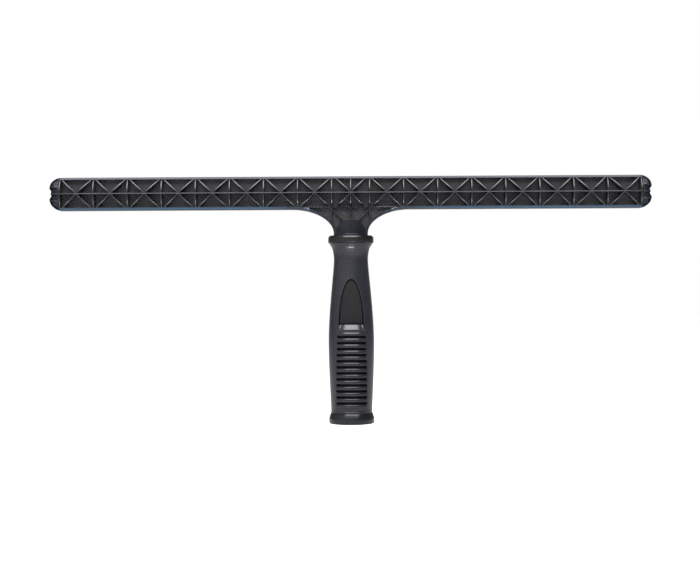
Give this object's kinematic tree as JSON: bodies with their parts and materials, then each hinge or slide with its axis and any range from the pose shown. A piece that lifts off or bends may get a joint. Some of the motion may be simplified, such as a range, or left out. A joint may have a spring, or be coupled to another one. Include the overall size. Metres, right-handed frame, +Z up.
{
  "type": "window washer t-bar",
  "caption": "Ribbed crossbar on a moulded handle with a soft grooved grip, carrying a washing sleeve for wetting and scrubbing windows.",
  "frame": {"origin": "centre of the handle's foot, in the plane that it stands on", "axes": "+Z up the handle to the crossbar, +X along the crossbar, the front faces -Y"},
  "size_m": [0.45, 0.034, 0.185],
  "materials": {
    "bar_plastic": "satin moulded black, fine grain",
    "tip_plastic": "matt moulded black",
    "handle_plastic": "matt moulded black",
    "plate_plastic": "matt flat black",
    "grip_rubber": "satin soft-touch rubber",
    "pin_steel": "plain"
  },
  "bodies": {
    "root": {"crossbar": "bar_plastic", "left_end_tip": "tip_plastic", "right_end_tip": "tip_plastic", "handle_core": "handle_plastic", "cross_pin": "pin_steel", "collar_ring": "handle_plastic", "grip_sleeve": "grip_rubber", "foot_ring": "handle_plastic", "front_label_plate": "plate_plastic", "back_label_plate": "plate_plastic"}
  },
  "joints": []
}
